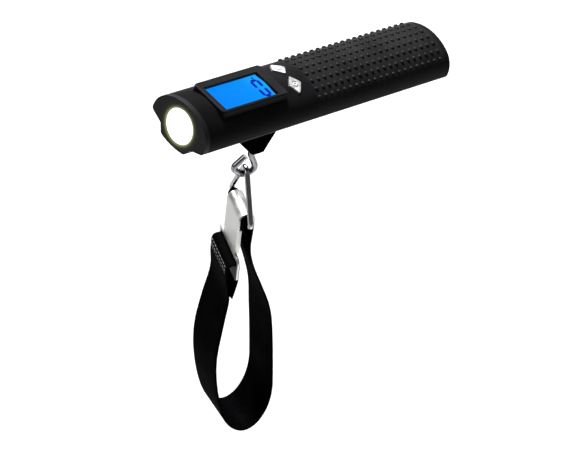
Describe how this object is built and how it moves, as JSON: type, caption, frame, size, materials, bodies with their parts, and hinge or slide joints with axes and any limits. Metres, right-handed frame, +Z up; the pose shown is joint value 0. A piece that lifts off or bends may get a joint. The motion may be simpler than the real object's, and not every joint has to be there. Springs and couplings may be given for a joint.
{
  "type": "digital luggage scale",
  "caption": "Hand-held luggage scale: torch handle with a backlit display, a swivel hook, a wire link, a clip and a webbing strap.",
  "frame": {"origin": "on the handle's axis straight above the hook, where the hand holds it", "axes": "+Z up against gravity as the scale hangs, +Y along the link's bar and the strap's width, +X across the strap's loop; the handle runs from its lens at -X to its rear cap at +X, held askew over the plumb strap by a yaw of 26, a pitch of 12 and a roll of 7.5 degrees"},
  "size_m": [0.1693, 0.1077, 0.24],
  "materials": {
    "casing": "soft-touch black",
    "bezel": "satin black",
    "boss": "satin black",
    "grip": "dotted rubber",
    "steel": "zinc plated",
    "window": "clear",
    "lcd": "blue backlit",
    "light_guide": "clear",
    "board": "solder mask",
    "elastomer": "banded",
    "chip": "moulded",
    "lens": "clear",
    "reflector": "metallised",
    "emitter": "lit",
    "beam": "machined",
    "gauge": "foil",
    "battery": "wrapped",
    "nickel": "nickel plated",
    "lead_cover": "insulated",
    "key": "silver",
    "chrome": "polished",
    "satin_nickel": "satin",
    "webbing": "woven"
  },
  "bodies": {
    "casing": {"upper_shell": "casing", "lower_shell": "casing", "grip_pad": "grip", "casing_screws": "steel", "front_bezel": "casing", "rear_cap": "casing", "display_bezel": "bezel", "display_window": "window", "lcd_panel": "lcd", "backlight_panel": "light_guide", "main_board": "board", "lcd_connector": "elastomer", "controller_chip": "chip", "switch_unit": "chip", "switch_power": "chip", "lens": "lens", "reflector": "reflector", "led_board": "board", "led_emitter": "emitter", "load_cell": "beam", "load_saddle": "steel", "load_cell_screws": "steel", "strain_gauges": "gauge", "sensor_ribbon": "gauge", "load_yoke": "steel", "yoke_pin": "steel", "hook_boss": "boss", "battery_cell": "battery", "contact_front": "nickel", "contact_rear": "nickel", "charge_board": "board", "power_socket": "nickel", "charge_socket": "nickel", "power_leads": "lead_cover"},
    "unit_key": {"button_unit": "key"},
    "power_key": {"button_power": "key"},
    "swivel": {"swivel_ball": "steel"},
    "hook": {"hook_wire": "chrome"},
    "link": {"strap_link": "chrome"},
    "strap": {"strap_clip": "satin_nickel", "strap_webbing": "webbing"}
  },
  "joints": [
    {"name": "unit_press", "type": "slide", "parent": "casing", "child": "unit_key", "axis": [-0.2425, 0.027, -0.9698], "range_m": [0, 0.0006], "stiffness_N_per_m": 1500, "springref_m": -0.0004},
    {"name": "power_press", "type": "slide", "parent": "casing", "child": "power_key", "axis": [-0.2425, 0.027, -0.9698], "range_m": [0, 0.0006], "stiffness_N_per_m": 1500, "springref_m": -0.0004},
    {"name": "hook_swing", "type": "hinge", "parent": "casing", "child": "swivel", "pos_m": [-0.00606, 0.00067, -0.02422], "axis": [0.1105, 0.9939, 0], "range_deg": [-5, 33]},
    {"name": "hook_swivel", "type": "hinge", "parent": "swivel", "child": "hook", "pos_m": [-0.00606, 0.00067, -0.02422], "axis": [0, 0, 1], "continuous": true},
    {"name": "link_swing", "type": "hinge", "parent": "hook", "child": "link", "pos_m": [-0.00786, 0.00067, -0.04632], "axis": [1, 0, 0], "range_deg": [-30, 30]},
    {"name": "strap_swing", "type": "hinge", "parent": "link", "child": "strap", "pos_m": [-0.00786, 0.00067, -0.06887], "axis": [0, 1, 0], "range_deg": [-60, 60]}
  ]
}
